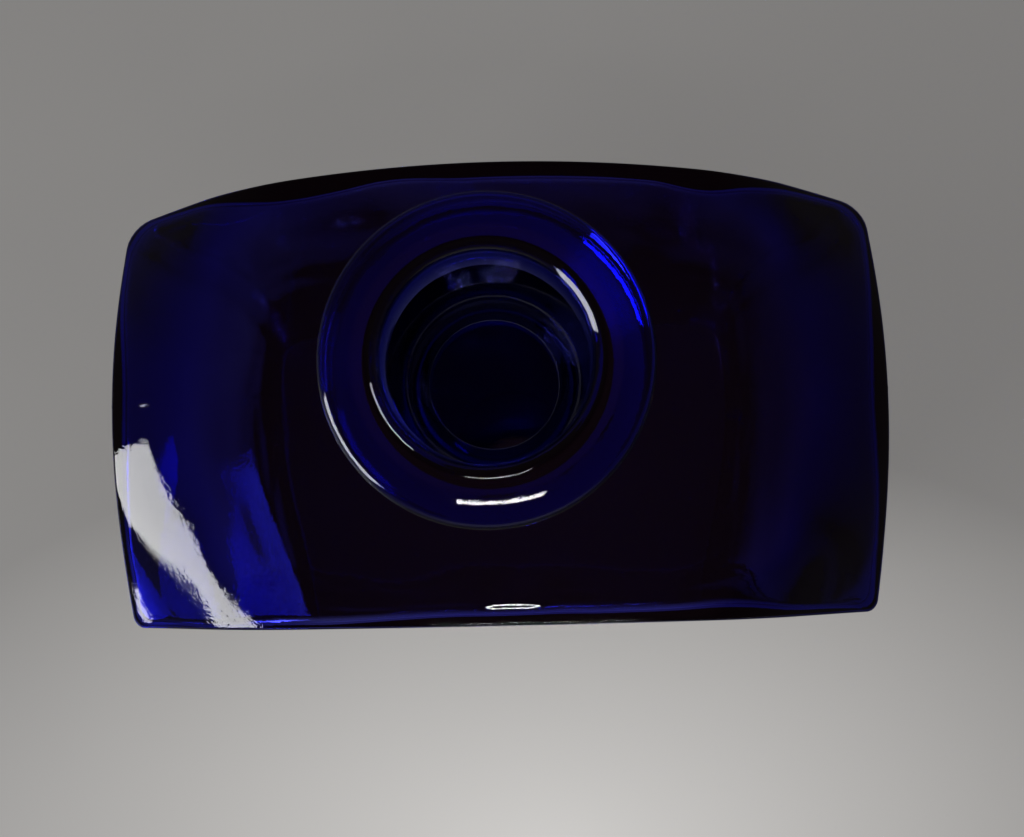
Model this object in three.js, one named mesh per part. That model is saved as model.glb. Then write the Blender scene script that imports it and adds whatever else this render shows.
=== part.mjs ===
// A cobalt glass vanity bottle and its stopper, in millimetres with +Z up.
// The bottle is one hollow piece of moulded glass: flat in front, bowed at the back, with a shoulder that rolls off
// at its corners and a thick lip round an open mouth. Its stopper, a glass head with a cork sleeve on the shank, is
// out of the mouth and stands upside down on its flat head to the right of the bottle.
// The origin is the middle of the base, on the neck's axis. The flat front faces -Y.

import * as THREE from 'three';
import { mergeVertices } from 'three/addons/utils/BufferGeometryUtils.js';

// Body, outside
const BODY_WIDTH = 81.6; // across the bowed sides
const FRONT_REACH = 23.8; // from the neck's axis to the front
const BACK_REACH = 24.9; // from the neck's axis to the back
const FRONT_BOW = 0.1; // how far the middle of the front stands out past its corners
const SIDE_BOW = 0.9;
const BACK_BOW = 4.3;
const FRONT_CORNER = 2; // length of side that a rounded corner takes up
const BACK_CORNER = 4;
const BASE_EDGE = 2.5; // radius of the edge round the base
const SHOULDER_EDGE = 1.5; // radius of the edge round the shoulder
const SHOULDER_HEIGHT = 97; // from the base to the foot of the neck
const SHOULDER_SLOPE = THREE.MathUtils.degToRad(5); // fall of the shoulder away from the neck
const ROLL_START = 29.7; // distance from the neck's axis, towards a corner, where the shoulder starts to roll off
const ROLL_RADIUS = 11.3; // how tightly it rolls off there
const VALVE_MARK_RADIUS = 9; // middle of the round groove that the mould's valve leaves in the base
const VALVE_MARK_WIDTH = 1.2;
const VALVE_MARK_DEPTH = 0.4;

// Body, inside
const WALL = 2;
const SHOULDER_WALL = 3;
const BASE_WALL = 5;
const INNER_CORNER = 6;
const INNER_EDGE = 4; // radius where the inner wall turns into the base and the shoulder

// Neck, lip and bore
const LIP_RADIUS = 14;
const LIP_OVERHANG = 3.4; // how far the lip stands out past the neck
const LIP_UNDER_EDGE = 1.6; // round edge below the lip
const LIP_BAND = 5.5; // height of the lip's upright face
const CROWN_HEIGHT = 2.4; // rounded crown above that face
const CROWN_WIDTH = 2.9;
const CROWN_FALL = 0.9; // fall of the crown's upper slope, carried straight out to the upright face
const RIM_WIDTH = 1.6; // flat ring on top of the lip, round the mouth
const MOUTH_EDGE = 0.8; // round edge between that ring and the bore
const NECK_LENGTH = 18.5; // straight part below the lip
const NECK_FILLET = 3; // radius of the sweep from the shoulder up into the neck
const THROAT_RADIUS = 6.2; // narrow end of the tapered bore
const THROAT_FILLET = 9; // flare from the throat into the body

// Stopper
const HEAD_RADIUS = 15.5;
const HEAD_HEIGHT = 12;
const HEAD_EDGE = 2.4;
const SHANK_RADIUS = 3.6;
const BEAD_OVERHANG = 0.7; // how far the bead on the shank's end stands out over the sleeve's hole
const BEAD_HEIGHT = 3;
const SLEEVE_LENGTH = 17;
const SLEEVE_EDGE = 0.6;
const SLEEVE_CLEARANCE = 0.25; // between the sleeve and the bore that it closes
const SHANK_CLEARANCE = 0.15; // between the sleeve's hole and the shank, and between the sleeve and the bead
const STOPPER_GAP = 50; // clear space between the bottle's right side and the stopper

// Steps along each curve
const LONG_SIDE_STEPS = 14;
const SHORT_SIDE_STEPS = 8;
const CORNER_STEPS = 3;
const EDGE_STEPS = 4;
const SHOULDER_STEPS = 5;
const PROFILE_STEPS = 4;
const LATHE_STEPS = 40;

const QUARTER = Math.PI / 2;

/** Whole numbers from 0 up to and including count. */
function upTo(count) {
  return Array.from({ length: count + 1 }, (_, i) => i);
}

/** The body's plan, set in from the outside by inset: points anticlockwise from the front left corner. */
function planRing(inset, frontCorner, backCorner) {
  const halfWidth = BODY_WIDTH / 2 - SIDE_BOW - inset;
  const front = -(FRONT_REACH - FRONT_BOW - inset);
  const back = BACK_REACH - BACK_BOW - inset;
  const sides = [
    { start: new THREE.Vector2(-halfWidth, front), corner: frontCorner, bow: FRONT_BOW, steps: LONG_SIDE_STEPS },
    { start: new THREE.Vector2(halfWidth, front), corner: frontCorner, bow: SIDE_BOW, steps: SHORT_SIDE_STEPS },
    { start: new THREE.Vector2(halfWidth, back), corner: backCorner, bow: BACK_BOW, steps: LONG_SIDE_STEPS },
    { start: new THREE.Vector2(-halfWidth, back), corner: backCorner, bow: SIDE_BOW, steps: SHORT_SIDE_STEPS },
  ];
  const runs = sides.map((side, k) => {
    const next = sides[(k + 1) % sides.length];
    const along = next.start.clone().sub(side.start);
    const outward = new THREE.Vector2(along.y, -along.x).normalize();
    const middle = side.start.clone().lerp(next.start, 0.5);
    const bend = middle.addScaledVector(outward, 2 * side.bow);
    const curve = new THREE.QuadraticBezierCurve(side.start, bend, next.start);
    const from = side.corner / along.length();
    const to = 1 - next.corner / along.length();
    return upTo(side.steps).map((i) => curve.getPoint(THREE.MathUtils.lerp(from, to, i / side.steps)));
  });
  return runs.flatMap((run, k) => {
    const next = (k + 1) % sides.length;
    const round = new THREE.QuadraticBezierCurve(run.at(-1), sides[next].start, runs[next][0]);
    const inRound = upTo(CORNER_STEPS).slice(1, -1);
    return [...run, ...inRound.map((i) => round.getPoint(i / CORNER_STEPS))];
  });
}

const outerRing = (inset) => planRing(inset, FRONT_CORNER, BACK_CORNER);
const innerRing = (inset) => planRing(WALL + inset, INNER_CORNER, INNER_CORNER);

const directions = outerRing(0).map((point) => point.normalize());
const circleRing = (radius) => directions.map((direction) => direction.clone().multiplyScalar(radius));

const neckRadius = LIP_RADIUS - LIP_OVERHANG;
const rimRadius = LIP_RADIUS - CROWN_WIDTH;
const mouthRadius = rimRadius - RIM_WIDTH;

// The two sweeps at the neck's root stay inside the shoulder's flat part where the body is narrowest.
const leastReach = Math.min(FRONT_REACH, BACK_REACH);
const neckFillet = Math.min(NECK_FILLET, leastReach - SHOULDER_EDGE - neckRadius);
const throatFillet = Math.min(THROAT_FILLET, leastReach - WALL - INNER_EDGE - THROAT_RADIUS);
const neckFoot = neckRadius + neckFillet;
const throatFoot = THROAT_RADIUS + throatFillet;

const lipBottom = SHOULDER_HEIGHT + neckFillet + NECK_LENGTH;
const lipTop = lipBottom + LIP_UNDER_EDGE + LIP_BAND + CROWN_HEIGHT;

/** How far the shoulder has rolled off towards a corner at a point of the plan. */
function cornerRoll(point) {
  const towardsCorner = (Math.abs(point.x) + Math.abs(point.y)) / Math.SQRT2;
  const past = Math.max(0, towardsCorner - ROLL_START);
  return past ** 2 / (2 * ROLL_RADIUS);
}

/** Height of the shoulder's outer face over a point of the plan. */
function outerShoulder(point) {
  const cone = Math.tan(SHOULDER_SLOPE) * (point.length() - neckFoot);
  return SHOULDER_HEIGHT - cone - cornerRoll(point);
}

const innerShoulder = (point) => outerShoulder(point) - SHOULDER_WALL;

const throatHeight = innerShoulder(new THREE.Vector2(throatFoot, 0)) + throatFillet;
const boreTop = lipTop - MOUTH_EDGE;

/** Radius of the tapered bore at a height. */
function boreRadius(height) {
  return THREE.MathUtils.mapLinear(height, throatHeight, boreTop, THROAT_RADIUS, mouthRadius - MOUTH_EDGE);
}

/** Lifts a flat ring to a height, given as a number or worked out from each point. */
function raise(ring, height) {
  const heightAt = typeof height === 'function' ? height : () => height;
  return ring.map((point) => new THREE.Vector3(point.x, point.y, heightAt(point)));
}

/** Rings round an edge of the body, from its wall to the face that it turns into; up is 1 or -1. */
function edgeRings(ringAt, radius, faceHeight, up) {
  const face = raise(ringAt(radius), faceHeight);
  return upTo(EDGE_STEPS).map((i) => {
    const turn = (i / EDGE_STEPS) * QUARTER;
    const below = up * radius * (1 - Math.sin(turn));
    const ring = ringAt(radius * (1 - Math.cos(turn)));
    return ring.map((point, k) => new THREE.Vector3(point.x, point.y, face[k].z - below));
  });
}

/** Rings over a shoulder, from its edge in to the circle at the foot of the neck. */
function shoulderRings(edge, footRadius, heightAt) {
  const foot = circleRing(footRadius);
  const steps = upTo(SHOULDER_STEPS).slice(1);
  return steps.map((i) => {
    const ring = edge.map((point, k) => point.clone().lerp(foot[k], i / SHOULDER_STEPS));
    return raise(ring, heightAt);
  });
}

/** Profile of the neck from the shoulder's top, over the lip and down the bore, as radius and height. */
function neckProfile() {
  const path = new THREE.Path();
  path.moveTo(neckFoot, SHOULDER_HEIGHT);
  path.absarc(neckFoot, SHOULDER_HEIGHT + neckFillet, neckFillet, -QUARTER, -2 * QUARTER, true);
  path.lineTo(neckRadius, lipBottom);
  path.lineTo(LIP_RADIUS - LIP_UNDER_EDGE, lipBottom);
  path.quadraticCurveTo(LIP_RADIUS, lipBottom, LIP_RADIUS, lipBottom + LIP_UNDER_EDGE);
  path.lineTo(LIP_RADIUS, lipBottom + LIP_UNDER_EDGE + LIP_BAND);
  path.quadraticCurveTo(LIP_RADIUS, lipTop - CROWN_FALL, rimRadius, lipTop);
  path.lineTo(mouthRadius, lipTop);
  path.quadraticCurveTo(boreRadius(boreTop), lipTop, boreRadius(boreTop), boreTop);
  path.lineTo(THROAT_RADIUS, throatHeight);
  path.absarc(throatFoot, throatHeight, throatFillet, 2 * QUARTER, 3 * QUARTER, false);
  return path.getPoints(PROFILE_STEPS);
}

/** Joins rings of equal length into one closed skin, with a point at each end. */
function loft(startPole, rings, endPole) {
  const count = rings[0].length;
  const points = [startPole, ...rings.flat(), endPole];
  const last = points.length - 1;
  const triangles = [];
  for (let k = 0; k < count; k += 1) {
    const next = (k + 1) % count;
    triangles.push(0, 1 + next, 1 + k);
    for (let r = 0; r < rings.length - 1; r += 1) {
      const low = 1 + r * count;
      const high = low + count;
      triangles.push(low + k, low + next, high + next, low + k, high + next, high + k);
    }
    triangles.push(last, last - count + k, last - count + next);
  }
  const geometry = new THREE.BufferGeometry().setFromPoints(points);
  geometry.setIndex(triangles);
  geometry.computeVertexNormals();
  return geometry;
}

/** The bottle: up the outside from the middle of the base, over the lip and down the inside. */
function bottleGeometry() {
  const markInside = VALVE_MARK_RADIUS - VALVE_MARK_WIDTH / 2;
  const markOutside = VALVE_MARK_RADIUS + VALVE_MARK_WIDTH / 2;
  const rings = [
    raise(circleRing(markInside), 0),
    raise(circleRing(VALVE_MARK_RADIUS), VALVE_MARK_DEPTH),
    raise(circleRing(markOutside), 0),
    ...edgeRings(outerRing, BASE_EDGE, 0, -1).reverse(),
    ...edgeRings(outerRing, SHOULDER_EDGE, outerShoulder, 1),
    ...shoulderRings(outerRing(SHOULDER_EDGE), neckFoot, outerShoulder),
    ...neckProfile().slice(1).map((point) => raise(circleRing(point.x), point.y)),
    ...shoulderRings(innerRing(INNER_EDGE), throatFoot, innerShoulder).reverse().slice(1),
    ...edgeRings(innerRing, INNER_EDGE, innerShoulder, 1).reverse(),
    ...edgeRings(innerRing, INNER_EDGE, BASE_WALL, -1),
  ];
  return loft(new THREE.Vector3(0, 0, 0), rings, new THREE.Vector3(0, 0, BASE_WALL));
}

/** Turns a profile of radius and height about the vertical axis. */
function turned(path) {
  const geometry = new THREE.LatheGeometry(path.getPoints(PROFILE_STEPS), LATHE_STEPS).rotateX(QUARTER);
  geometry.deleteAttribute('normal');
  geometry.deleteAttribute('uv');
  const closed = mergeVertices(geometry, 1e-4);
  closed.computeVertexNormals();
  return closed;
}

// Heights on the stopper count up from its flat head as it stands upside down; its seat is the head's other face.
const sleeveHole = SHANK_RADIUS + SHANK_CLEARANCE;
const sleeveEnd = HEAD_HEIGHT + SLEEVE_LENGTH;

/** The stopper's head with its shank and the bead that holds the sleeve. */
function stopperHeadGeometry() {
  const beadRadius = sleeveHole + BEAD_OVERHANG;
  const beadStart = sleeveEnd + SHANK_CLEARANCE;
  const path = new THREE.Path();
  path.moveTo(0, 0);
  path.lineTo(HEAD_RADIUS - HEAD_EDGE, 0);
  path.quadraticCurveTo(HEAD_RADIUS, 0, HEAD_RADIUS, HEAD_EDGE);
  path.lineTo(HEAD_RADIUS, HEAD_HEIGHT - HEAD_EDGE);
  path.quadraticCurveTo(HEAD_RADIUS, HEAD_HEIGHT, HEAD_RADIUS - HEAD_EDGE, HEAD_HEIGHT);
  path.lineTo(SHANK_RADIUS, HEAD_HEIGHT);
  path.lineTo(SHANK_RADIUS, beadStart);
  path.lineTo(beadRadius, beadStart);
  path.quadraticCurveTo(beadRadius, beadStart + BEAD_HEIGHT, 0, beadStart + BEAD_HEIGHT);
  return turned(path);
}

/** The cork sleeve, tapered as the bore is when the head's seat lies on the lip. */
function stopperCorkGeometry() {
  const seatedRadius = (height) => boreRadius(lipTop - (height - HEAD_HEIGHT)) - SLEEVE_CLEARANCE;
  const wide = HEAD_HEIGHT + MOUTH_EDGE;
  const path = new THREE.Path();
  path.moveTo(sleeveHole, HEAD_HEIGHT);
  path.lineTo(seatedRadius(wide) - SLEEVE_EDGE, HEAD_HEIGHT);
  path.lineTo(seatedRadius(wide), wide);
  path.lineTo(seatedRadius(sleeveEnd - SLEEVE_EDGE), sleeveEnd - SLEEVE_EDGE);
  path.lineTo(seatedRadius(sleeveEnd) - SLEEVE_EDGE, sleeveEnd);
  path.lineTo(sleeveHole, sleeveEnd);
  path.closePath();
  return turned(path);
}

const cobaltGlass = { color: 0x0b1170, roughness: 0.05, metalness: 0 };
const cork = { color: 0xb98a5a, roughness: 0.85, metalness: 0 };

/** A named piece with a material of its own. */
function piece(name, geometry, finish) {
  const mesh = new THREE.Mesh(geometry, new THREE.MeshStandardMaterial(finish));
  mesh.name = name;
  return mesh;
}

const stopper = new THREE.Group();
stopper.add(piece('stopper_head', stopperHeadGeometry(), cobaltGlass));
stopper.add(piece('stopper_cork', stopperCorkGeometry(), cork));
// The stopper's head lines up with the bottle's front.
stopper.position.set(BODY_WIDTH / 2 + STOPPER_GAP + HEAD_RADIUS, HEAD_RADIUS - FRONT_REACH, 0);

const vanityBottle = new THREE.Group();
vanityBottle.add(piece('glass_bottle', bottleGeometry(), cobaltGlass));
vanityBottle.add(stopper);

export default vanityBottle;
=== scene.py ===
# %% [markdown]
# # A cobalt glass vanity bottle
# A bottle of moulded cobalt glass stands open, seen from just above its lip. Its stopper is out, and
# stands upside down to the right of it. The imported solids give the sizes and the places. This lesson
# gives the glass its fine surface, its uneven walls and its colour, and then sets a floor, lamps and a
# camera round it.

# %% Load the frame
import math

import bmesh
import bpy
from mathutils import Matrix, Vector


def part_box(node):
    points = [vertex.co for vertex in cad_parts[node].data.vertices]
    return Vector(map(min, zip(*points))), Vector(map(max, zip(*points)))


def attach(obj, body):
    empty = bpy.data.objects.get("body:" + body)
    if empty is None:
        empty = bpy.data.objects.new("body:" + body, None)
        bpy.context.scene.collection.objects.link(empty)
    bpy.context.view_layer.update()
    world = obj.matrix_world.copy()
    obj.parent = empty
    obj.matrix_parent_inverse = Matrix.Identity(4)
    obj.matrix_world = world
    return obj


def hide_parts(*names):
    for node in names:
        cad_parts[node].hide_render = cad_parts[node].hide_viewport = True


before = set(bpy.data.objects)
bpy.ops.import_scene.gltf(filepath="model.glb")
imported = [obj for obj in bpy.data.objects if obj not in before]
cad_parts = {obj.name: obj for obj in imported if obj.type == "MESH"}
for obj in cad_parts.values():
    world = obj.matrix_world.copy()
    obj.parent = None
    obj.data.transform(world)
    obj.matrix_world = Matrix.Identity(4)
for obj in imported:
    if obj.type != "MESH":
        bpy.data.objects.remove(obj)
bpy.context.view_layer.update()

MM = 0.001
bottle_low, bottle_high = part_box("glass_bottle")


def in_mm(corner):
    return [round(x / MM, 1) for x in corner]


print("bottle in mm, from", in_mm(bottle_low), "to", in_mm(bottle_high))

# %% [markdown]
# ## Working in edit mode from a script
# By hand you click on what you want to change. A script has to say it by place instead. These helpers
# start a primitive in edit mode, select its vertices or edges by a test on where they are, and pull on
# a spot as proportional editing does. Everything is deselected first, because an operator acts on all
# that is selected.

# %% Start a piece and select by place
TINY = 0.002 * MM


def begin(name, add, **settings):
    """Adds a primitive on its own, names it and opens it in edit mode."""
    bpy.ops.object.select_all(action="DESELECT")
    add(**settings)
    piece = bpy.context.object
    piece.name = name
    piece.data.name = name
    bpy.ops.object.mode_set(mode="EDIT")
    return piece


def finish_edit():
    bpy.ops.object.mode_set(mode="OBJECT")


def edit_mesh():
    return bmesh.from_edit_mesh(bpy.context.object.data)


def pick(test):
    """Selects the vertices whose place passes the test, with the edges and faces between them."""
    bpy.ops.mesh.select_all(action="DESELECT")
    mesh = edit_mesh()
    for vert in mesh.verts:
        vert.select = test(vert.co)
    mesh.select_flush(True)
    bmesh.update_edit_mesh(bpy.context.object.data)


def pick_edges(test):
    """Selects the edges whose two ends pass the test."""
    bpy.ops.mesh.select_all(action="DESELECT")
    for edge in edit_mesh().edges:
        if test(edge.verts[0].co, edge.verts[1].co):
            edge.select_set(True)
    bmesh.update_edit_mesh(bpy.context.object.data)


print("points closer than", TINY / MM, "mm count as one place")


# %% Move and pull what is selected
def move(x=0.0, y=0.0, z=0.0):
    bpy.ops.transform.translate(value=(x, y, z))


def pull(amount, reach, shape):
    """Moves the selection by an amount, and its surroundings less and less out to a reach."""
    bpy.ops.transform.translate(
        value=amount, use_proportional_edit=True, proportional_edit_falloff=shape, proportional_size=reach
    )


def pull_near(place, amount, reach, shape):
    """Takes hold of the vertex that is nearest to a place, and pulls."""
    grip = min((vert.co.copy() for vert in edit_mesh().verts), key=lambda co: (co - Vector(place)).length)
    pick(lambda co: (co - grip).length < TINY)
    pull(amount, reach, shape)


# %% [markdown]
# ## The body's plan
# From above, the body is a rectangle with a flat front, nearly straight sides and a bowed back. You
# could draw it with curves. Here it starts as a plane, because then every corner and side stays easy to
# count: the corners get a vertex bevel, the sides are subdivided, and the middle of each side is pulled
# out. The inverse square falloff of proportional editing is a parabola, just what a bow needs.

# %% Draw the plan of a skin
CORNER_STEPS = 6
LONG_SIDE_CUTS = 71
SHORT_SIDE_CUTS = 39
SIDE_AT_LEAST = 10.0 * MM
AROUND = 2 * (LONG_SIDE_CUTS + 1) + 2 * (SHORT_SIDE_CUTS + 1) + 4 * CORNER_STEPS


def draw_plan(name, half_width, front, back, bows, corners):
    """A body's outline, left in edit mode; bows go front, side, back, and corners go front, back."""
    front_bow, side_bow, back_bow = bows
    side = half_width - side_bow
    low = front + front_bow
    high = back - back_bow
    middle = (low + high) / 2
    plan = begin(name, bpy.ops.mesh.primitive_plane_add, size=1)
    bpy.ops.transform.resize(value=(2 * side, high - low, 1))
    move(y=middle)
    for corner_y, size in zip((low, high), corners):
        pick(lambda co: abs(co.y - corner_y) < TINY)
        bpy.ops.mesh.bevel(affect="VERTICES", offset=size, segments=CORNER_STEPS)
    bpy.ops.mesh.select_all(action="SELECT")
    bpy.ops.mesh.delete(type="ONLY_FACE")
    for along, cuts in enumerate((LONG_SIDE_CUTS, SHORT_SIDE_CUTS)):
        pick_edges(lambda a, b: abs(a[along] - b[along]) > SIDE_AT_LEAST)
        bpy.ops.mesh.subdivide(number_cuts=cuts)
    pull_near((0, low, 0), (0, -front_bow, 0), side, "INVERSE_SQUARE")
    pull_near((0, high, 0), (0, back_bow, 0), side, "INVERSE_SQUARE")
    for turn in (-1, 1):
        pull_near((turn * side, middle, 0), (turn * side_bow, 0, 0), (high - low) / 2, "INVERSE_SQUARE")
    return plan


def fill_plan():
    """Closes the plan with one face."""
    bpy.ops.mesh.select_all(action="SELECT")
    bpy.ops.mesh.edge_face_add()


print("points round the plan:", AROUND)

# %% [markdown]
# ## From plan to skin
# A skin of the body is its plan drawn up through the height. Each station is a height and how far the
# plan is drawn in there, so one loop of extrude and resize makes the round edge at the base, the
# upright wall and the round edge at the shoulder. You could bevel a box instead, but stations keep
# every ring in your hands.

# %% Draw a plan up through stations
QUARTER = math.pi / 2


def edge_stations(face_height, radius, up, steps):
    """Stations round an edge, from the wall to the face that it turns into; up is 1 or -1."""
    turns = [QUARTER * i / steps for i in range(steps + 1)]
    return [(face_height - up * radius * (1 - math.sin(t)), radius * (1 - math.cos(t))) for t in turns]


def wall_stations(low, high, steps):
    return [(low + (high - low) * i / steps, 0.0) for i in range(1, steps)]


def draw_up(stations):
    """Extrudes the selected plan through the stations."""
    places = [vert.co.copy() for vert in edit_mesh().verts]
    high = Vector(max(co[k] for co in places) for k in range(3))
    low = Vector(min(co[k] for co in places) for k in range(3))
    middle = (low + high) / 2
    half = (high - low) / 2
    last_height, last_inset = 0.0, 0.0
    for k, (height, inset) in enumerate(stations):
        if k:
            bpy.ops.mesh.extrude_region_move()
        move(z=height - last_height)
        shrink = [(half[axis] - inset) / (half[axis] - last_inset) for axis in (0, 1)]
        bpy.ops.transform.resize(value=(*shrink, 1), center_override=middle)
        last_height, last_inset = height, inset
    print("drawn up through", len(stations), "stations")


# %% [markdown]
# ## A round opening in a flat face
# The top of a skin is opened for the neck. Bridge pairs the points of two rings by where they lie, and
# two rings in one plane can be paired the wrong way round. So the circle is held above the face,
# bridged to its edge, and then the whole bridge is pressed flat. Lifting the circle again, with a
# linear falloff, makes a flat shoulder a low cone.

# %% Open a face and raise a cone
LIFT = 20.0 * MM
CONE_REACH = 30.0 * MM
SHOULDER_SLOPE = math.radians(5)
CONE_RISE = math.tan(SHOULDER_SLOPE) * CONE_REACH


def open_round(height, radius, cuts, lift):
    """Bridges a circle to the edge of the selected flat face, in place of the face."""
    bpy.ops.mesh.delete(type="ONLY_FACE")
    bpy.ops.mesh.primitive_circle_add(vertices=AROUND, radius=radius, location=(0, 0, height + lift))
    pick(lambda co: abs(co.z - height) < TINY or abs(co.z - height - lift) < TINY)
    bpy.ops.mesh.bridge_edge_loops(number_cuts=cuts, interpolation="LINEAR")
    pick(lambda co: (co.z - height) * lift > -TINY * abs(lift))
    bpy.ops.transform.resize(value=(1, 1, 0), center_override=(0, 0, height))


def raise_shoulder(height, radius):
    """Lifts the round opening, so that the flat shoulder becomes a low cone."""
    pick(lambda co: abs(co.z - height) < TINY and co.xy.length < radius + TINY)
    pull((0, 0, CONE_RISE), CONE_REACH, "LINEAR")


print("the shoulder rises by", round(CONE_RISE / MM, 2), "mm")

# %% [markdown]
# ## The corners of the shoulder
# Seen from above, the shoulder doesn't end in four square corners. A facet falls away towards each of
# them, and that facet mirrors the window as a slanting white band. You could cut the corners off with
# bisect, but moulded glass has soft edges: level, then round, then a slope. A formula gives that fall
# at any place. A vertex group holds it as weights, and a Displace modifier moves every vertex down by
# its weight. The wall below gives way evenly.

# %% Let the corners fall
DEEPEST_FALL = 20.0 * MM


def soft(value, width):
    """The size of a value, rounded off near zero over a width."""
    return math.hypot(value, width) - width


def facet_fall(co, turn, width, edge, radius, slope):
    """How far a corner falls: level, then round with a radius, then a plane of a slope past an edge."""
    reach = abs(co.x) * math.cos(turn) + soft(co.y, width) * math.sin(turn)
    past = max(0.0, reach - edge + slope * radius / 2)
    if past < slope * radius:
        return past**2 / (2 * radius)
    return slope * (past - slope * radius / 2)


def weighted_displace(skin, name, weight, **settings):
    """Displaces a skin's vertices by weights worked out from their places, and applies it."""
    group = skin.vertex_groups.new(name=name)
    for vert in skin.data.vertices:
        group.add([vert.index], weight(vert.co), "REPLACE")
    displace = skin.modifiers.new(name, "DISPLACE")
    displace.vertex_group = name
    for setting, value in settings.items():
        setattr(displace, setting, value)
    bpy.ops.object.modifier_apply(modifier=name)
    skin.vertex_groups.clear()


def lower_corners(skin, fall, wall_low, wall_high):
    """Lowers a skin's corners by a fall that depends on the place, and lets the wall below give way."""

    def weight(co):
        share = min(1.0, max(0.0, (co.z - wall_low) / (wall_high - wall_low)))
        return share * fall(co) / DEEPEST_FALL

    weighted_displace(skin, "corner_fall", weight, direction="Z", strength=-DEEPEST_FALL, mid_level=0.0)


print("a corner can fall by up to", round(DEEPEST_FALL / MM), "mm")

# %% [markdown]
# ## The outside of the body
# The outer skin carries the sharp marks of the mould: a small round edge at the base and a sharper one
# at the shoulder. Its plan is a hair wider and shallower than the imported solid, as the outline in the
# photo is. Each corner facet has a ridge in its middle, where its upper edge is sharper than to both
# sides, and so the white band isn't equally wide all along.

# %% Outer skin
OUTLINE_TRIM = 0.35 * MM
FRONT = bottle_low.y
BACK = bottle_high.y - OUTLINE_TRIM
HALF_WIDTH = bottle_high.x + OUTLINE_TRIM
OUTER_BOWS = (0.1 * MM, 0.9 * MM, 4.3 * MM)
OUTER_CORNERS = (1.2 * MM, 2.5 * MM)
BASE_EDGE = 2.5 * MM
SHOULDER_EDGE = 0.3 * MM
SHOULDER_HEIGHT = 97.0 * MM
LIP_RADIUS = 14.0 * MM
NECK_RADIUS = LIP_RADIUS - 3.4 * MM
NECK_FILLET = 3.0 * MM
NECK_FOOT = NECK_RADIUS + NECK_FILLET
EDGE_STEPS = 10
WALL_STEPS = 24
SHOULDER_CUTS = 35

shoulder_flat = SHOULDER_HEIGHT - CONE_RISE
base_edge = edge_stations(0, BASE_EDGE, -1, EDGE_STEPS)[::-1]
shoulder_edge = edge_stations(shoulder_flat, SHOULDER_EDGE, 1, EDGE_STEPS)
outer_wall = (base_edge[-1][0], shoulder_edge[0][0])
outer = draw_plan("glass_bottle_dressed", HALF_WIDTH, FRONT, BACK, OUTER_BOWS, OUTER_CORNERS)
fill_plan()
draw_up(base_edge + wall_stations(*outer_wall, WALL_STEPS) + shoulder_edge)
open_round(shoulder_flat, NECK_FOOT, SHOULDER_CUTS, LIFT)
raise_shoulder(shoulder_flat, NECK_FOOT)

# %% [markdown]
# ## Two marks of the mould
# In the middle of the front edge a shallow dip catches the lamp as a short white dash. It is a pull
# with a root falloff, which is steep at its rim. In the middle of the base is the round groove that the
# mould's valve leaves. It is made as in clay: a circle is set in the base, and two insets press a ring
# into it.

# %% Dip in the front edge
DIP_FROM = -1.2 * MM
DIP_TO = 3.9 * MM
DIP_BEHIND = 0.5 * MM
DIP_REACH = 1.9 * MM
DIP_DEPTH = 0.12 * MM


def on_front_edge(co):
    return co.z > shoulder_flat - TINY and co.y < FRONT + DIP_BEHIND and DIP_FROM < co.x < DIP_TO


pick(on_front_edge)
pull((0, 0, -DIP_DEPTH), DIP_REACH, "ROOT")
print("dip in the front edge:", round(DIP_DEPTH / MM, 2), "mm deep")

# %% Valve mark in the base
MARK_RADIUS = 9.0 * MM
MARK_WIDTH = 1.2 * MM
MARK_DEPTH = 0.4 * MM
MARK_OUTSIDE = MARK_RADIUS + MARK_WIDTH / 2
BASE_CUTS = 3

pick(lambda co: abs(co.z) < TINY)
open_round(0, MARK_OUTSIDE, BASE_CUTS, -LIFT)
pick(lambda co: abs(co.z) < TINY and co.xy.length < MARK_OUTSIDE + TINY)
bpy.ops.mesh.edge_face_add()
for rise in (MARK_DEPTH, -MARK_DEPTH):
    bpy.ops.mesh.inset(thickness=MARK_WIDTH / 2)
    move(z=rise)
finish_edit()
print("valve mark:", round(2 * MARK_OUTSIDE / MM, 1), "mm across")

# %% Outer corner facets
FACET_TURN = math.radians(46)
FACET_WIDTH = 20.0 * MM
FACET_EDGE = 26.1 * MM
FACET_RADIUS = 10.0 * MM
FACET_SLOPE = 0.73
RIDGE_MIDDLE = 8.8 * MM
RIDGE_REACH = 7.0 * MM
RIDGE_SHARPER = 5.5 * MM


def outer_fall(co):
    """The fall of the outer skin's corners; each facet's edge is sharper at a ridge in its middle."""
    aside = (abs(co.x) - abs(co.y)) / math.sqrt(2) - RIDGE_MIDDLE
    ridge = math.cos(QUARTER * min(1.0, abs(aside) / RIDGE_REACH)) ** 2
    radius = FACET_RADIUS - ridge * RIDGE_SHARPER
    return facet_fall(co, FACET_TURN, FACET_WIDTH, FACET_EDGE, radius, FACET_SLOPE)


lower_corners(outer, outer_fall, BASE_EDGE, outer_wall[1])
print("outer skin:", len(outer.data.polygons), "faces")

# %% [markdown]
# ## The inside of the body
# The cavity isn't a smaller copy of the outside. It was blown: its walls are thin near the shoulder and
# swell to a heel at the base, its sides are straighter, and nothing in it is quite even. A few pulls
# thin and thicken the back and front walls where their edges wander in the photo. Two facets fall
# towards each corner, a broad one and a smaller one nearer the corner. They mirror the window as the
# blue swath beside the white band.

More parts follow.
